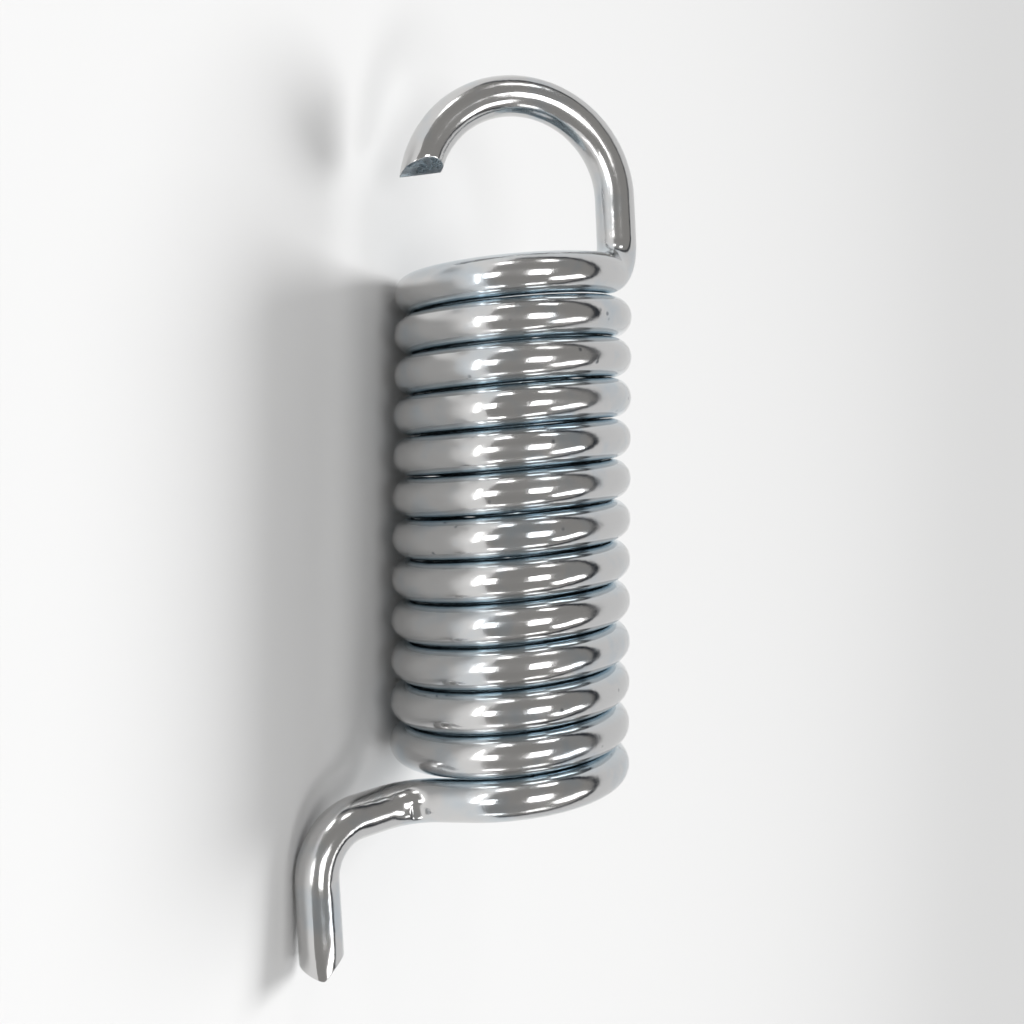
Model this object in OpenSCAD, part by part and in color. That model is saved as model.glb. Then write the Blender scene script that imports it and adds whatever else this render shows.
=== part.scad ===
/* [Wire] */
// diameter of the drawn wire
wire_d = 3.2; // [2.8:0.1:3.6]

/* [Coil] */
// outside diameter of the coil
coil_od = 19.4; // [18:0.2:22]
// free gap between one turn and the next when the spring is slack
coil_gap = 0.06; // [0.04:0.02:0.2]
// half turns between the two end turns, always an odd number
half_turns = 23; // [15:2:31]

/* [Hook] */
// place on the top turn where the hook starts, in degrees from its right side
hook_start = 26.5; // [15:0.5:45]
// centreline radius of the bend that stands the hook up
hook_bend_r = 3; // [2.4:0.1:4]
// angle of that bend
hook_bend = 87.5; // [80:0.5:92]
// direction of that bend, in degrees about the wire
hook_bend_roll = 92; // [86:0.5:96]
// straight wire between the bend and the hook
hook_rise = 3.45; // [2:0.05:6]
// direction of the hook, in degrees about the wire
hook_roll = -48.5; // [-60:0.5:-40]
// inside diameter of the hook
hook_inner_d = 13; // [10:0.2:15]
// angle swept by the hook
hook_sweep = 169; // [160:0.5:176]

/* [Leg] */
// place on the bottom turn where the wire leaves the coil, in degrees from its right side
leg_start = 111; // [100:1:125]
// straight wire before the kink
kink_feed = 2.95; // [2:0.05:5]
// centreline radius of the kink
kink_r = 4.1; // [3:0.1:6]
// angle of the kink
kink_bend = 60; // [50:1:70]
// straight wire between the kink and the leg bend
leg_run = 2.35; // [1:0.05:5]
// direction of the leg bend, in degrees about the wire
leg_roll = -89; // [-92:0.5:-84]
// centreline radius of the leg bend
leg_bend_r = 3.85; // [3:0.05:6]
// angle of the leg bend
leg_bend = 87.5; // [84:0.5:90]
// straight leg from its bend to the cut edge
leg_length = 6.45; // [5:0.05:12]

/* [Cut ends] */
// slope of the short face that the cutter leaves
cut_near = 45; // [35:1:55]
// slope of the long face that the cutter leaves
cut_far = 27; // [15:1:35]
// distance of the cut edge from the middle of the wire
cut_offset = 0.3; // [0:0.05:0.5]
// direction of the cut on the leg, in degrees about the wire
leg_cut_roll = 39; // [0:1:90]
// skew of the cut edge across the hook tip
hook_cut_skew = 20; // [0:1:25]

/* [Hidden] */

wire_r = wire_d / 2;
mean_r = coil_od / 2 - wire_r;
hook_r = hook_inner_d / 2 + wire_r;

// angles are settled by a few hundredths of a degree, to where the six digits kept of the sine and
// the cosine make a true turn, so that each length of wire meets the next one face to face
function kept(x) = let (n = pow(10, 5 - floor(log(abs(x) + 1e-9)))) round(x * n) / n;
function miss(a) = abs(pow(kept(cos(a)), 2) + pow(kept(sin(a)), 2) - 1);
function best(list) = let (m = min([for (a = list) miss(a)])) [for (a = list) if (miss(a) == m) a][0];
function settled(a) = best([for (k = [-60:60]) a + k / 1000]);
leave_hook = settled(hook_start);
leave_leg = settled(leg_start);

// a turn is two half rings, each tilted so that their ends meet
tilt = best([for (k = [-20:20]) asin((round((wire_d + coil_gap) / 4 / mean_r * 1e6) + k) / 1e6)]);
pitch = 4 * mean_r * sin(tilt);
coil_rise = (half_turns + 1) * pitch / 2;
trim = 3 * (coil_od + hook_inner_d);
wire_sides = 32;
ring_sides = 96;

// each bend is [straight before it, direction, radius, angle]
hook_bends = [[0, settled(hook_bend_roll), hook_bend_r, settled(hook_bend)],
    [hook_rise, settled(hook_roll), hook_r, hook_sweep]];
leg_bends = [[kink_feed, 0, kink_r, settled(kink_bend)],
    [leg_run, settled(leg_roll), leg_bend_r, settled(leg_bend)]];

// turn a direction about Y and about Z, as rotate() does
function turn_y(a) = [[cos(a), 0, sin(a)], [0, 1, 0], [-sin(a), 0, cos(a)]];
function turn_z(a) = [[cos(a), -sin(a), 0], [sin(a), cos(a), 0], [0, 0, 1]];
// points on the middle of the wire through a list of bends, from place p and axes m
function bend_end(p, m, b) = p + m * turn_z(b[1]) * [b[2] * (1 - cos(b[3])), 0, b[2] * sin(b[3])];
function wire_points(p, m, bends, i = 0) = i == len(bends) ? [] :
    let (b = bends[i], q = p + m * [0, 0, b[0]], n = m * turn_z(b[1]))
    concat([for (k = [0:ring_sides]) let (a = b[3] * k / ring_sides)
            q + n * [b[2] * (1 - cos(a)), 0, b[2] * sin(a)]],
        wire_points(bend_end(q, m, b), n * turn_y(b[3]), bends, i + 1));
function wire_axes(m, bends, i = 0) =
    i == len(bends) ? m : wire_axes(m * turn_z(bends[i][1]) * turn_y(bends[i][3]), bends, i + 1);

// the leg, measured from the middle of the bottom turn
leg_axes = turn_z(tilt) * turn_y(-leave_leg);
leg_curve = wire_points(leg_axes * [mean_r, 0, 0], leg_axes, leg_bends);
leg_end_axes = wire_axes(leg_axes, leg_bends);
leg_bent = leg_curve[len(leg_curve) - 1];
leg_full = leg_length - (wire_r + cut_offset) * tan(cut_far);
leg_line = concat(leg_curve, [leg_bent + leg_end_axes * [0, 0, leg_full]]);
leg_edge = leg_bent + leg_end_axes * turn_z(leg_cut_roll) * [cut_offset, 0, leg_length];

// the hook, measured from the middle of the top turn
hook_axes = turn_z(tilt) * turn_y(180 - leave_hook);
hook_centre = bend_end(hook_axes * [-mean_r, 0, 0], hook_axes, hook_bends[0])
    + wire_axes(hook_axes, [hook_bends[0]]) * ([0, 0, hook_rise] + turn_z(hook_bends[1][1]) * [hook_r, 0, 0]);
hook_normal = wire_axes(hook_axes, hook_bends) * [0, 1, 0];

// at rest the coil and the leg touch the floor; up_at is the upward direction about the coil
function reach(a) = mean_r * sqrt(1 - pow(sin(tilt) * cos(a), 2));
function rest_at(low) = max([for (p = leg_line) let (s = norm([p[0], p[2]])) if (s > low)
    atan2(p[2], p[0]) - 90 - asin(low / s)]);
up_at = settled(rest_at(reach(rest_at(mean_r))));
flat = turn_y(up_at - 90);
floor_z = max(reach(up_at), -min([for (p = leg_line) (flat * p)[2]])) + wire_r;
side_x = reach(up_at - 90) + wire_r;
leg_x = min([for (p = leg_line) (flat * p)[0]]) - wire_r;
top_y = coil_rise + hook_centre[1] + hook_r * sqrt(1 - pow(hook_normal[1], 2)) + wire_r;
low_y = leg_edge[1] - wire_r * abs((leg_end_axes * turn_z(leg_cut_roll) * [0, 1, 0])[1]);

// block ahead of the wire's face here
module ahead(size = trim) translate([-size / 2, -size / 2, 0]) cube(size);

// ring round the middle of a turn, from one angle through another
module ring(r, from, angle)
    rotate([90, 0, 0]) rotate_extrude(angle = angle, start = from, $fn = ring_sides)
        translate([r, 0]) circle(d = wire_d, $fn = wire_sides);

// place on a turn, with Z along the wire and X away from the coil
module on_turn(angle) rotate([0, -angle, 0]) translate([mean_r, 0, 0]) children();

// end of a bend
module past(r, angle) translate([r, 0, 0]) rotate([0, angle, 0]) translate([-r, 0, 0]) children();

module bend(r, angle)
    difference() {
        translate([r, 0, 0]) ring(r, 0, 180);
        past(r, angle) ahead();
    }

// straight, bend and straight again up to the last bend, then the child
module bent_wire(bends, i = 0) {
    b = bends[i];
    if (b[0] > 0) cylinder(h = b[0], d = wire_d, $fn = wire_sides);
    translate([0, 0, b[0]]) rotate([0, 0, b[1]]) {
        bend(b[2], b[3]);
        past(b[2], b[3])
            if (i < len(bends) - 1) bent_wire(bends, i + 1) children();
            else children();
    }
}

// the two faces that a side cutter leaves, with the edge along Y
module cutter()
    translate([cut_offset, 0, 0]) {
        rotate([0, cut_near, 0]) ahead(3 * wire_d);
        rotate([0, -cut_far, 0]) ahead(3 * wire_d);
    }

// half turns from the bottom up, back and front by turns
// place along the coil, in two steps so that no digit is lost
module along(y) translate([0, floor(y * 100) / 100, 0]) translate([0, y - floor(y * 100) / 100, 0]) children();

module coil()
    for (i = [1:half_turns]) along(i * pitch / 2)
        rotate([0, 0, i % 2 == 1 ? -tilt : tilt]) ring(mean_r, i % 2 == 1 ? 180 : 0, 180);

module leg()
    rotate([0, 0, tilt]) {
        difference() {
            ring(mean_r, 0, 180);
            on_turn(leave_leg) ahead();
        }
        on_turn(leave_leg) bent_wire(leg_bends) difference() {
            cylinder(h = leg_length, d = wire_d, $fn = wire_sides);
            translate([0, 0, leg_length]) rotate([0, 0, leg_cut_roll]) cutter();
        }
    }

module hook()
    along(coil_rise) rotate([0, 0, tilt]) {
        difference() {
            ring(mean_r, 0, 180);
            on_turn(leave_hook) rotate([0, 180, 0]) ahead();
        }
        on_turn(leave_hook) rotate([0, 180, 0]) bent_wire([hook_bends[0]]) {
            cylinder(h = hook_rise, d = wire_d, $fn = wire_sides);
            translate([0, 0, hook_rise]) rotate([0, 0, hook_bends[1][1]]) difference() {
                translate([hook_r, 0, 0]) ring(hook_r, 0, 180);
                past(hook_r, hook_sweep) rotate([0, hook_cut_skew, 0]) rotate([0, 0, -90]) cutter();
            }
        }
    }

module spring_wire()
    color([0.72, 0.75, 0.78])
        translate([-(leg_x + side_x) / 2, -(low_y + top_y) / 2, floor_z])
            rotate([0, up_at - 90, 0]) {
                coil();
                leg();
                hook();
            }

spring_wire();
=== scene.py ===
from math import ceil, cos, pi, radians, sin
import bpy
from mathutils import Matrix, Vector


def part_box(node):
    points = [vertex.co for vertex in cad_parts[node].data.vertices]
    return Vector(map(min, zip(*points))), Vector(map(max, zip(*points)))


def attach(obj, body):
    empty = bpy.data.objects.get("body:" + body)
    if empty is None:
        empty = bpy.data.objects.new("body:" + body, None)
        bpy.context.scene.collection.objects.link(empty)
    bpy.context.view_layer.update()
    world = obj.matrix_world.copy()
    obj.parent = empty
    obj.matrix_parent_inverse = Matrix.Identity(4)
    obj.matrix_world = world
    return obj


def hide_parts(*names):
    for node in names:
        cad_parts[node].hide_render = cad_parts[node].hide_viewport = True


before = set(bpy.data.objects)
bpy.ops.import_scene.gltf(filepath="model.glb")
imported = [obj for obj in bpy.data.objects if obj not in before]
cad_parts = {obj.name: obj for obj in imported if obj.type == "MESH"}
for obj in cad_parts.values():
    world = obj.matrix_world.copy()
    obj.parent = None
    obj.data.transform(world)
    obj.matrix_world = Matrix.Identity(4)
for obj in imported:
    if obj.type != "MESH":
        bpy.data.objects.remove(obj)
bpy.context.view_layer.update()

mm = 0.001

# The wire as a bending machine feeds it. Lengths are in mm and angles in degrees.
# Each bend is (straight wire before it, direction, radius, angle).
spring = {
    "wireRadius": 1.6,
    "coilRadius": 8.1,
    "halfTurns": 23,
    "halfTurnTilt": 5.77539,
    "hookStart": 26.457,       # missing from the coil's half turn at the hook
    "hookBends": [(0, 92.003, 3, 87.484), (3.45, -48.449, 8.1, 140)],
    "hookEnd": 29,             # degrees from the hook's last full bend to its cut
    "legStart": 111.013,       # kept of the coil's half turn at the leg
    "legBends": [(2.95, 180, 4.1, 60.044), (2.35, -89.001, 3.85, 87.484)],
    "legLength": 6.45,
    "pastEnd": 3.4,            # wire that the cutter takes off
    "cutOffset": 0.3,          # from the middle of the wire to the cut edge
    "cutSlopes": (45, 27),     # of the short and the long face
    "cutEdgeRound": 0.07,
    "legCutRoll": 39,
    "hookCutRoll": -90,
    "hookCutSkew": 20,
    "restRoll": 25.0048,       # turn about the coil's axis at which the leg meets the floor
    "coilPlace": (3.96221, -22.0311, 9.66625),      # of the coil's own frame, once it lies
    # flats that the bending tools pressed into the wire: (from, to, direction, depth)
    # The leg's side of the coil's last seam counts up, the hook's side counts down.
    "toolMarks": [
        (18.45, 20.85, (0.1, -0.25, 1), 0.16),
        (30.9, 31.5, (0.9, 0.1, 0.5), 0.05),
    ],
    "toolMarkSlope": 0.3,      # along the wire, from no depth to the flat
    # how finely the wire is drawn
    "sides": 40,
    "ringEvery": {"coil": 0.75, "hook": 0.3, "legBend": 0.15, "leg": 0.3, "hookTip": 1},
    "legPlain": 2.4,           # no rings before the leg's cut, so that its edge is clean
    "sameRing": 0.004,         # two pieces' shared end rings are joined within this
    "shortEdge": 0.1,          # an edge at a cut is closed up below this
    "cutFaceSides": 8,         # a face of the wire has fewer sides, a cut's has more
    "roundSteps": 2,
    "smoothBelow": 35,
}


def deselectAll():
    if bpy.context.mode != 'OBJECT':
        bpy.ops.object.mode_set(mode='OBJECT')
    bpy.ops.object.select_all(action='DESELECT')


def selectOnly(pieces):
    deselectAll()
    for piece in pieces:
        piece.select_set(True)
    bpy.context.view_layer.objects.active = pieces[0]


def rollFrame(tip, degrees):
    return tip @ Matrix.Rotation(radians(degrees), 4, 'Z')


def feedFrame(tip, length):
    return tip @ Matrix.Translation((0, 0, length * mm))


def bendFrame(tip, radius, degrees):
    turn = Matrix.Rotation(radians(degrees), 4, 'Y')
    return tip @ Matrix.Translation((radius * mm, 0, 0)) @ turn @ Matrix.Translation((-radius * mm, 0, 0))


# wire drawn piece by piece from one end ring; neighbouring pieces share their end rings
class Wire:
    def __init__(self, tip, way):
        self.tip, self.way = tip, way      # way is 1 or -1: how the place along the wire counts
        self.rolled, self.along, self.pieces = 0, 0, []

    def ring(self):
        deselectAll()
        bpy.ops.mesh.primitive_circle_add(vertices=spring["sides"], radius=spring["wireRadius"] * mm)
        piece = bpy.context.object
        # the wire doesn't twist where the direction of a bend changes
        piece.matrix_world = rollFrame(self.tip, -self.rolled)
        bpy.ops.object.transform_apply(location=True, rotation=True, scale=True)
        bpy.ops.object.mode_set(mode='EDIT')
        bpy.ops.mesh.select_all(action='SELECT')
        return piece

    def keep(self, piece, steps, length):
        # each point's place on the straight wire: across it, and along it, in metres
        bpy.ops.object.mode_set(mode='OBJECT')
        straight = piece.data.attributes.new("straightWire", 'FLOAT_VECTOR', 'POINT')
        sides, r = spring["sides"], spring["wireRadius"] * mm
        for k in range(len(piece.data.vertices)):
            around = 2 * pi * self.way * (k % sides) / sides
            along = self.way * (self.along + length * (k // sides) / steps)
            straight.data[k].vector = (r * cos(around), r * sin(around), along * mm)
        self.along += length
        self.pieces.append(piece)

    def roll(self, degrees):
        self.tip = rollFrame(self.tip, degrees)
        self.rolled += degrees

    def feed(self, length, every):
        piece = self.ring()
        steps = ceil(length / every)
        step = self.tip.to_3x3() @ Vector((0, 0, length * mm / steps))
        for k in range(steps):
            bpy.ops.mesh.extrude_region_move(TRANSFORM_OT_translate={"value": step})
        self.keep(piece, steps, length)
        self.tip = feedFrame(self.tip, length)

    def bend(self, radius, degrees, every):
        piece = self.ring()
        length = radius * radians(degrees)
        steps = ceil(length / every)
        centre = self.tip @ Vector((radius * mm, 0, 0))
        axis = self.tip.to_3x3() @ Vector((0, -1, 0))     # spin turns left-handed
        bpy.ops.mesh.spin(steps=steps, angle=radians(degrees), center=centre, axis=axis)
        self.keep(piece, steps, length)
        self.tip = bendFrame(self.tip, radius, degrees)

    def run(self, bends, every):
        for straight, roll, radius, degrees in bends:
            if straight:
                self.feed(straight, every)
            self.roll(roll)
            self.bend(radius, degrees, every)


def pressFlats(piece):
    # the pressed side moves towards the middle of the wire, with a slope at each end of the mark
    sides, r, slope = spring["sides"], spring["wireRadius"] * mm, spring["toolMarkSlope"]
    points = piece.data.vertices
    straight = piece.data.attributes["straightWire"].data
    for first in range(0, len(points), sides):
        along = straight[first].vector.z / mm
        for start, end, towards, depth in spring["toolMarks"]:
            rise = min(1, max(0, along - start + slope / 2) / slope)
            rise *= min(1, max(0, end + slope / 2 - along) / slope)
            if not rise:
                continue
            ring = range(first, first + sides)
            middle = sum((points[k].co for k in ring), Vector()) / sides
            push = Vector(towards).normalized()
            level = r - depth * mm * rise
            for k in ring:
                above = (points[k].co - middle).dot(push) - level
                if above > 0:
                    points[k].co -= push * above


def selectCutFaces():
    bpy.ops.mesh.select_all(action='DESELECT')
    bpy.ops.mesh.select_face_by_sides(number=spring["cutFaceSides"], type='GREATER')


def cutEnd(piece, place, roll, skew):
    # two sloping faces, as a side cutter leaves them, with a fine rounded edge
    place = place @ Matrix.Rotation(radians(skew), 4, 'Y') @ Matrix.Rotation(radians(roll), 4, 'Z')
    edge = place @ Vector((spring["cutOffset"] * mm, 0, 0))
    shortFace, longFace = spring["cutSlopes"]
    selectOnly([piece])
    bpy.ops.object.mode_set(mode='EDIT')
    bpy.ops.mesh.select_mode(type='FACE')
    for slope in (shortFace, -longFace):
        normal = place.to_3x3() @ Vector((sin(radians(slope)), 0, cos(radians(slope))))
        bpy.ops.mesh.select_all(action='SELECT')
        bpy.ops.mesh.bisect(plane_co=edge, plane_no=normal, use_fill=True, clear_outer=True)
    # short edges where the wire's rings meet the cut are closed up before it is rounded
    selectCutFaces()
    bpy.ops.mesh.remove_doubles(threshold=spring["shortEdge"] * mm)
    selectCutFaces()
    bpy.ops.object.material_slot_assign()
    bpy.ops.mesh.select_mode(type='EDGE')
    bpy.ops.mesh.bevel(offset=spring["cutEdgeRound"] * mm, segments=spring["roundSteps"], affect='EDGES')
    bpy.ops.object.mode_set(mode='OBJECT')


def drawLeg(seam):
    every = spring["ringEvery"]
    leg = Wire(seam, 1)
    leg.roll(180)
    leg.bend(spring["coilRadius"], spring["legStart"], every["coil"])
    leg.run(spring["legBends"], every["legBend"])
    tip = feedFrame(leg.tip, spring["legLength"])
    leg.feed(spring["legLength"] - spring["legPlain"], every["leg"])
    plain = spring["legPlain"] + spring["pastEnd"]
    leg.feed(plain, plain)
    return leg.pieces, tip


def drawCoilAndHook(seam):
    every, coilR, tilt = spring["ringEvery"], spring["coilRadius"], spring["halfTurnTilt"]
    hook = Wire(seam @ Matrix.Rotation(radians(180), 4, 'Y'), -1)
    for k in range(spring["halfTurns"]):
        hook.roll(2 * tilt)
        hook.bend(coilR, 180, every["coil"])
    hook.roll(2 * tilt)
    hook.bend(coilR, 180 - spring["hookStart"], every["coil"])
    hook.run(spring["hookBends"], every["hook"])
    hookR = spring["hookBends"][-1][2]
    tip = bendFrame(hook.tip, hookR, spring["hookEnd"])
    hook.bend(hookR, spring["hookEnd"] + spring["pastEnd"] / radians(hookR), every["hookTip"])
    return hook.pieces, tip


def layDown(wire):
    # turned onto the floor, and moved to where the frame has the solid
    wire.matrix_world = Matrix.Rotation(radians(spring["restRoll"] - 90), 4, 'Y')
    bpy.ops.object.transform_apply(location=True, rotation=True, scale=True)
    low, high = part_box("spring_wire")
    points = [v.co for v in wire.data.vertices]
    shift = [(low[k] + high[k] - min(p[k] for p in points) - max(p[k] for p in points)) / 2 for k in range(3)]
    bpy.ops.transform.translate(value=shift)
    bpy.ops.object.transform_apply(location=True, rotation=True, scale=True)


def makeSpring(zinc, cutZinc):
    # the coil's axis is Y here, and both ways start from the right end of the bottom turn
    seam = Matrix.Rotation(radians(spring["halfTurnTilt"]), 4, 'Z')
    seam = seam @ Matrix.Translation((spring["coilRadius"] * mm, 0, 0))
    legPieces, legTip = drawLeg(seam)
    hookPieces, hookTip = drawCoilAndHook(seam)
    pieces = legPieces + hookPieces
    print("wire drawn:", len(pieces), "pieces")

    for piece in pieces:
        piece.data.materials.append(zinc)
        piece.data.materials.append(cutZinc)
        pressFlats(piece)
    for piece in (legPieces[-1], hookPieces[-1]):
        piece.active_material_index = 1
    cutEnd(legPieces[-1], legTip, spring["legCutRoll"], 0)
    cutEnd(hookPieces[-1], hookTip, spring["hookCutRoll"], spring["hookCutSkew"])

    wire = pieces[0]
    selectOnly(pieces)
    bpy.ops.object.join()
    wire.name = "springWire"
    bpy.ops.object.mode_set(mode='EDIT')
    bpy.ops.mesh.select_all(action='SELECT')
    bpy.ops.mesh.remove_doubles(threshold=spring["sameRing"] * mm)
    bpy.ops.mesh.normals_make_consistent(inside=False)
    bpy.ops.object.mode_set(mode='OBJECT')
    print("wire joined:", len(wire.data.vertices), "points")

    layDown(wire)
    bpy.ops.object.shade_smooth_by_angle(angle=radians(spring["smoothBelow"]))
    return wire


def add(tree, kind, **values):
    # a node with its input values, whose names have _ for a space
    node = tree.nodes.new(kind)
    for name, value in values.items():
        node.inputs[name.replace("_", " ")].default_value = value
    return node


def scaled(tree, vector, scale):
    node = tree.nodes.new('ShaderNodeVectorMath')
    node.operation = 'MULTIPLY'
    node.inputs[1].default_value = scale
    tree.links.new(vector, node.inputs[0])
    return node.outputs[0]


def noise(tree, vector, scale, detail, roughness=0.5):
    node = add(tree, 'ShaderNodeTexNoise', Scale=1, Detail=detail, Roughness=roughness)
    tree.links.new(scaled(tree, vector, scale), node.inputs["Vector"])
    return node.outputs["Fac"]


def spread(tree, value, span, result):
    # the value's span becomes the result's, and stays at its ends beyond it
    low, high = span
    toLow, toHigh = result
    node = add(tree, 'ShaderNodeMapRange', From_Min=low, From_Max=high, To_Min=toLow, To_Max=toHigh)
    tree.links.new(value, node.inputs["Value"])
    return node.outputs[0]


def combine(tree, operation, a, b):
    node = tree.nodes.new('ShaderNodeMath')
    node.operation = operation
    for socket, value in zip(node.inputs, (a, b)):
        if isinstance(value, (int, float)):
            socket.default_value = value
        else:
            tree.links.new(value, socket)
    return node.outputs[0]


def blend(tree, factor, first, second):
    node = tree.nodes.new('ShaderNodeMix')
    node.data_type = 'RGBA'
    tree.links.new(factor, node.inputs[0])
    for socket, value in ((node.inputs[6], first), (node.inputs[7], second)):
        if isinstance(value, tuple):
            socket.default_value = value
        else:
            tree.links.new(value, socket)
    return node.outputs[2]


# zinc plate: scales are in cycles a metre, heights in metres, ranges from none to full
plate = {
    "grain": (2600, 2600, 2600), "grainHeight": 0.0000045,
    "pimple": (620, 620, 620), "pimpleHeight": 0.00003,
    "pitCell": (640, 640, 640), "pitRange": (0.14, 0.06), "pitDepth": 0.000006,
    "pittedPatch": (330, 330, 330), "pittedRange": (0.6, 0.66),
    "drawLine": (4200, 4200, 60), "drawLineHeight": 0.0000045,
    "crest": (0.61, 0.605, 0.60, 1),
    "stain": (0.50, 0.555, 0.60, 1),
    "cloud": (210, 210, 210), "cloudRange": (0.5, 0.68), "mostStain": 0.75,
    # painted light: the metal is painted paler and bluer where the wire lies deep between two turns, in place
    # of the light and shade seen in the gaps
    "paintedGrooveSheen": (0.60, 0.70, 0.76, 1), "mostPaintedGrooveSheen": 0.9,
    "paintedGrooveSheenRange": (9.45, 8.3),        # mm from the coil's axis
    "coilReach": (-24, 20.5),          # mm along it
    "coilFade": 2,
    "pit": (0.16, 0.18, 0.2, 1), "mostPit": 0.7,
    "dullPatch": (700, 700, 190), "dullRange": (0.4, 0.7), "roughness": (0.11, 0.2),
    "drawLineRange": (0.5, 0.75), "drawLineRoughness": 0.05,
}

# the sheared ends, in the same units
sheared = {
    "drag": (6500, 1200, 600), "dragHeight": 0.000012,
    "torn": (900, 900, 900), "tornRange": (0.45, 0.6), "tornHeight": 0.00001,
    "smoothColour": (0.68, 0.69, 0.7, 1), "tornColour": (0.40, 0.41, 0.43, 1),
    "roughness": (0.24, 0.45),
}


def makeSpeckle():
    # fine bumps of the plating, on the object's own coordinates; also where the rare dark pits are
    group = bpy.data.node_groups.new("platingSpeckle", 'ShaderNodeTree')
    for name, way in (("Grain Height", 'INPUT'), ("Pimple Height", 'INPUT'), ("Pit Depth", 'INPUT'),
                      ("Height", 'OUTPUT'), ("Pit", 'OUTPUT')):
        group.interface.new_socket(name=name, in_out=way, socket_type='NodeSocketFloat')
    given = group.nodes.new('NodeGroupInput').outputs
    place = group.nodes.new('ShaderNodeTexCoord').outputs["Object"]
    grain = noise(group, place, plate["grain"], detail=2)
    grain = combine(group, 'MULTIPLY', grain, given["Grain Height"])
    pimple = noise(group, place, plate["pimple"], detail=1)
    pimple = combine(group, 'MULTIPLY', pimple, given["Pimple Height"])
    cell = add(group, 'ShaderNodeTexVoronoi', Scale=1)
    group.links.new(scaled(group, place, plate["pitCell"]), cell.inputs["Vector"])
    pit = spread(group, cell.outputs["Distance"], plate["pitRange"], (0, 1))
    pitted = noise(group, place, plate["pittedPatch"], detail=0)
    pitted = spread(group, pitted, plate["pittedRange"], (0, 1))
    pit = combine(group, 'MULTIPLY', pit, pitted)
    height = combine(group, 'ADD', grain, pimple)
    height = combine(group, 'SUBTRACT', height, combine(group, 'MULTIPLY', pit, given["Pit Depth"]))
    out = group.nodes.new('NodeGroupOutput')
    group.links.new(height, out.inputs["Height"])
    group.links.new(pit, out.inputs["Pit"])
    return group


def startMetal(name, speckle):
    metal = bpy.data.materials.new(name)
    metal.use_nodes = True
    tree = metal.node_tree
    shader = tree.nodes["Principled BSDF"]
    shader.inputs["Metallic"].default_value = 1
    group = tree.nodes.new('ShaderNodeGroup')
    group.node_tree = speckle
    group.inputs["Grain Height"].default_value = plate["grainHeight"]
    group.inputs["Pimple Height"].default_value = plate["pimpleHeight"]
    group.inputs["Pit Depth"].default_value = plate["pitDepth"]
    onWire = tree.nodes.new('ShaderNodeAttribute')
    onWire.attribute_name = "straightWire"
    return metal, tree, shader, group, onWire.outputs["Vector"]


def relief(tree, shader, height):
    bump = add(tree, 'ShaderNodeBump', Strength=1, Distance=1)
    tree.links.new(height, bump.inputs["Height"])
    tree.links.new(bump.outputs[0], shader.inputs["Normal"])


def makePaintedGrooveSheen(tree, place):
    # painted light between the turns: how deep a point lies between two turns, from its distance to the
    # coil's axis
    away = tree.nodes.new('ShaderNodeVectorMath')
    away.operation = 'SUBTRACT'
    away.inputs[1].default_value = Vector(spring["coilPlace"]) * mm
    tree.links.new(place, away.inputs[0])
    far = tree.nodes.new('ShaderNodeVectorMath')
    far.operation = 'LENGTH'
    tree.links.new(scaled(tree, away.outputs[0], (1, 0, 1)), far.inputs[0])
    none, full = plate["paintedGrooveSheenRange"]
    deep = spread(tree, far.outputs["Value"], (none * mm, full * mm), (0, 1))
    # the hook and the leg have no grooves
    split = tree.nodes.new('ShaderNodeSeparateXYZ')
    tree.links.new(place, split.inputs[0])
    low, high = plate["coilReach"]
    fade = plate["coilFade"]
    aboveLow = spread(tree, split.outputs[1], (low * mm, (low + fade) * mm), (0, 1))
    belowHigh = spread(tree, split.outputs[1], (high * mm, (high - fade) * mm), (0, 1))
    return combine(tree, 'MULTIPLY', deep, combine(tree, 'MULTIPLY', aboveLow, belowHigh))


def makeZinc(speckle):
    zinc, tree, shader, group, wire = startMetal("zincPlate", speckle)
    place = tree.nodes.new('ShaderNodeTexCoord').outputs["Object"]
    cloud = noise(tree, place, plate["cloud"], detail=3, roughness=0.6)
    stain = spread(tree, cloud, plate["cloudRange"], (0, plate["mostStain"]))
    # painted light and shade between the turns, laid into the metal's colour
    paintedGrooveSheen = combine(tree, 'MULTIPLY', makePaintedGrooveSheen(tree, place), plate["mostPaintedGrooveSheen"])
    pit = combine(tree, 'MULTIPLY', group.outputs["Pit"], plate["mostPit"])
    colour = blend(tree, stain, plate["crest"], plate["stain"])
    colour = blend(tree, paintedGrooveSheen, colour, plate["paintedGrooveSheen"])
    colour = blend(tree, pit, colour, plate["pit"])
    tree.links.new(colour, shader.inputs["Base Color"])

    line = noise(tree, wire, plate["drawLine"], detail=3)
    dull = noise(tree, wire, plate["dullPatch"], detail=2)
    rough = spread(tree, dull, plate["dullRange"], plate["roughness"])
    lineRough = spread(tree, line, plate["drawLineRange"], (0, plate["drawLineRoughness"]))
    tree.links.new(combine(tree, 'ADD', rough, lineRough), shader.inputs["Roughness"])
    lineHeight = combine(tree, 'MULTIPLY', line, plate["drawLineHeight"])
    relief(tree, shader, combine(tree, 'ADD', group.outputs["Height"], lineHeight))
    return zinc


def makeCutZinc(speckle):
    # the sheared ends: plated too, but drawn out in fine lines by the cutter, with a duller broken zone
    metal, tree, shader, group, wire = startMetal("zincOnShearedEnd", speckle)
    drag = noise(tree, wire, sheared["drag"], detail=3)
    torn = noise(tree, wire, sheared["torn"], detail=3, roughness=0.65)
    torn = spread(tree, torn, sheared["tornRange"], (0, 1))
    colour = blend(tree, torn, sheared["smoothColour"], sheared["tornColour"])
    tree.links.new(colour, shader.inputs["Base Color"])
    tree.links.new(spread(tree, torn, (0, 1), sheared["roughness"]), shader.inputs["Roughness"])
    height = combine(tree, 'MULTIPLY', drag, sheared["dragHeight"])
    height = combine(tree, 'ADD', height, combine(tree, 'MULTIPLY', torn, sheared["tornHeight"]))
    relief(tree, shader, combine(tree, 'ADD', height, group.outputs["Height"]))
    return metal


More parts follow.
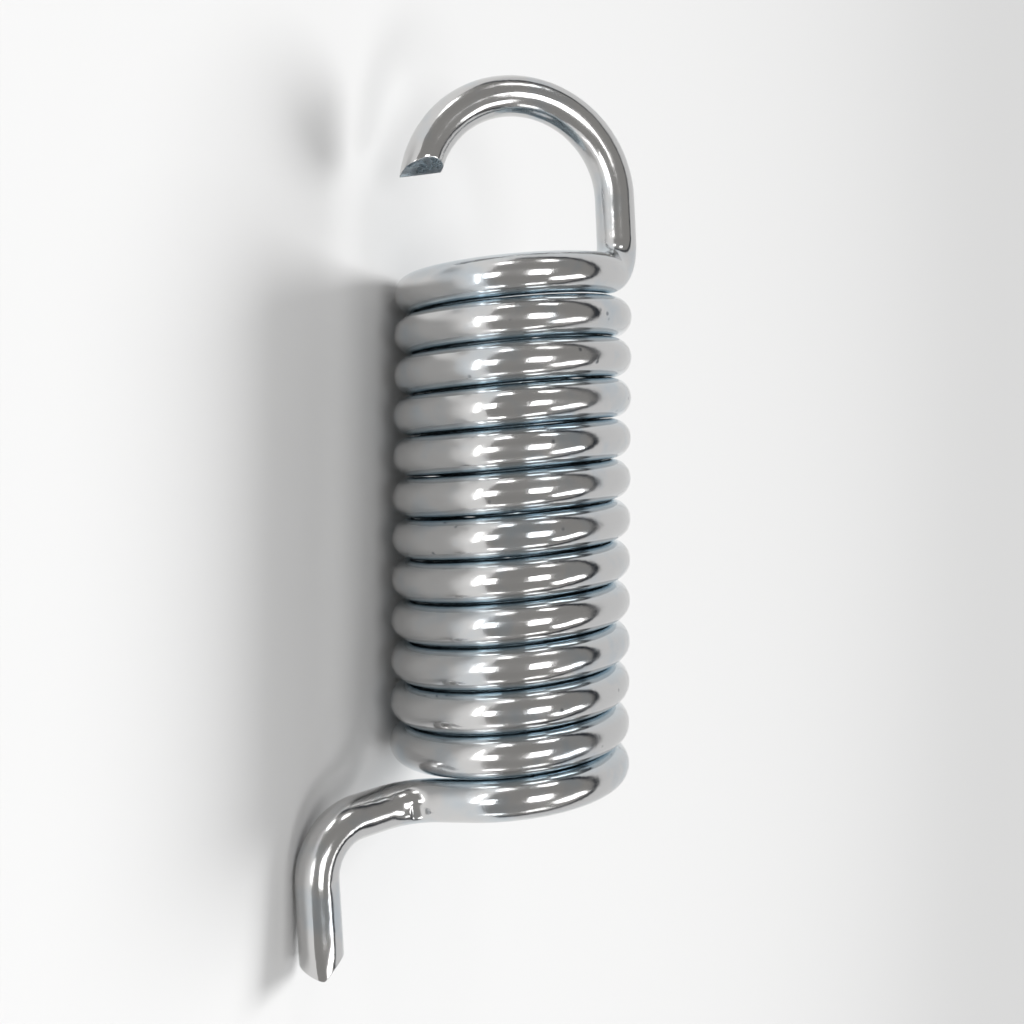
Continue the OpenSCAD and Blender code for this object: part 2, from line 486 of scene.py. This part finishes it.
# camera, in the coil's own frame: X right, Y up along the axis, Z towards the camera
view = {
    "aimX": 1.158, "aimY": -1.772, "roll": 0.471,         # degrees
    "place": (-3.093, 26.944, 100.706),                   # mm
    "pictureSide": 1024, "focal": 1237.1, "shift": 101,   # pixels
    "sensorWidth": 36,                                    # mm
    "clip": (0.005, 200),                                 # metres
}


def coilFrame():
    laid = Matrix.Rotation(radians(spring["restRoll"] - 90), 4, 'Y')
    return Matrix.Translation(Vector(spring["coilPlace"]) * mm) @ laid


def makeCamera():
    data = bpy.data.cameras.new("camera")
    camera = bpy.data.objects.new("camera", data)
    bpy.context.scene.collection.objects.link(camera)
    turn = Matrix.Rotation(radians(view["roll"]), 4, 'Z') @ Matrix.Rotation(radians(view["aimX"]), 4, 'X')
    turn = turn @ Matrix.Rotation(radians(view["aimY"]), 4, 'Y')
    camera.matrix_world = coilFrame() @ Matrix.Translation(Vector(view["place"]) * mm) @ turn
    data.sensor_width = view["sensorWidth"]
    data.lens = view["sensorWidth"] * view["focal"] / view["pictureSide"]
    data.shift_y = -view["shift"] / view["pictureSide"]
    data.clip_start, data.clip_end = view["clip"]
    bpy.context.scene.camera = camera


ground = {"size": 80, "colour": (0.68, 0.68, 0.68, 1)}       # so wide that its edge is far off in every view


def makeFloor():
    deselectAll()
    bpy.ops.mesh.primitive_plane_add(size=ground["size"], location=(0, 0, 0))
    floor = bpy.context.object
    floor.name = "floor"
    paper = bpy.data.materials.new("paper")
    paper.use_nodes = True
    shader = paper.node_tree.nodes["Principled BSDF"]
    shader.inputs["Base Color"].default_value = ground["colour"]
    shader.inputs["Roughness"].default_value = 1
    shader.inputs["Specular IOR Level"].default_value = 0
    floor.data.materials.append(paper)


# the studio: a pale wall behind the spring, a dim one on the camera's side, and small lamps there
# walls: place from straight behind, 0, to the camera's side, 1, and colour
# lamps: name, direction in the coil frame, width and height in metres, brightness
studio = {
    "behind": (0.80, 0.805, 0.81, 1),
    "corner": (0.02, 0.024, 0.032, 1),
    "front": (0.325, 0.32, 0.312, 1),
    "walls": [(0.49, "behind"), (0.515, "corner"), (0.56, "corner"), (0.60, "front")],
    "lampsAround": (0, 20, 0),       # mm in the coil frame
    "lampAway": 0.5,
    "lamps": [
        ("windowLeft", (-0.40, 0.02, 0.90), (0.14, 0.20), 5),
        ("windowRight", (0.42, -0.02, 0.90), (0.17, 0.20), 5),
        ("lampRight", (0.80, -0.46, 0.45), (0.26, 0.12), 4.5),
        ("stripUp", (-0.30, 0.84, 0.45), (0.22, 0.09), 5),
        ("stripUpRight", (0.36, 0.82, 0.42), (0.12, 0.07), 4),
        ("stripDown", (-0.28, -0.86, 0.40), (0.26, 0.06), 5),
        ("spotDown", (0.34, -0.86, 0.40), (0.12, 0.06), 4),
    ],
    "lowBoxPlace": (-0.066, 0.004, 0.002), "lowBoxSize": (0.034, 0.05), "lowBoxBrightness": 4,
    "sunFrom": (0.77, 0.10, 0.62), "sunStrength": 3.0, "sunWide": 26,
}


def makeWalls():
    world = bpy.data.worlds.new("studio")
    bpy.context.scene.world = world
    world.use_nodes = True
    tree = world.node_tree
    facing = tree.nodes.new('ShaderNodeVectorMath')
    facing.operation = 'DOT_PRODUCT'
    facing.inputs[1].default_value = coilFrame().to_3x3() @ Vector((0, 0, 1))
    tree.links.new(tree.nodes.new('ShaderNodeTexCoord').outputs["Generated"], facing.inputs[0])
    ramp = tree.nodes.new('ShaderNodeValToRGB')
    while len(ramp.color_ramp.elements) < len(studio["walls"]):
        ramp.color_ramp.elements.new(0.5)
    for element, (position, name) in zip(ramp.color_ramp.elements, studio["walls"]):
        element.position = position
        element.color = studio[name]
    tree.links.new(spread(tree, facing.outputs["Value"], (-1, 1), (0, 1)), ramp.inputs[0])
    tree.links.new(ramp.outputs[0], tree.nodes["Background"].inputs["Color"])


def addLight(name, kind):
    light = bpy.data.lights.new(name, kind)
    lightObject = bpy.data.objects.new(name, light)
    bpy.context.scene.collection.objects.link(lightObject)
    return light, lightObject


def addLamp(name, size, brightness):
    # its power grows with its face, so that brightness is what the metal shows
    lamp, lampObject = addLight(name, 'AREA')
    lamp.shape = 'RECTANGLE'
    lamp.size, lamp.size_y = size
    lamp.energy = brightness * pi * size[0] * size[1]
    return lampObject


def makeLights():
    toWorld = coilFrame().to_3x3()
    middle = coilFrame() @ (Vector(studio["lampsAround"]) * mm)
    for name, direction, size, brightness in studio["lamps"]:
        lampObject = addLamp(name, size, brightness)
        away = toWorld @ Vector(direction).normalized()
        along = toWorld @ Vector((1, 0, 0))
        side = (along - away * along.dot(away)).normalized()
        turn = Matrix((side, away.cross(side), away)).transposed().to_4x4()
        lampObject.matrix_world = Matrix.Translation(middle + away * studio["lampAway"]) @ turn
    # a low light box beside the camera, on the floor and out of the picture, facing up
    boxObject = addLamp("lowBox", studio["lowBoxSize"], studio["lowBoxBrightness"])
    boxObject.location = studio["lowBoxPlace"]
    boxObject.rotation_euler = (pi, 0, 0)
    boxObject.visible_camera = False
    # the soft light that makes the shadow
    sun, sunObject = addLight("ceiling", 'SUN')
    sun.energy, sun.angle = studio["sunStrength"], radians(studio["sunWide"])
    sunObject.rotation_euler = Vector(studio["sunFrom"]).to_track_quat('Z', 'Y').to_euler()
    sunObject.visible_glossy = False


bpy.context.scene.view_settings.view_transform = 'Standard'
speckle = makeSpeckle()
wire = makeSpring(makeZinc(speckle), makeCutZinc(speckle))
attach(wire, "root")
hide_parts("spring_wire")
print("spring finished")
makeFloor()
makeWalls()
makeLights()
makeCamera()
print("stage, light and camera set")
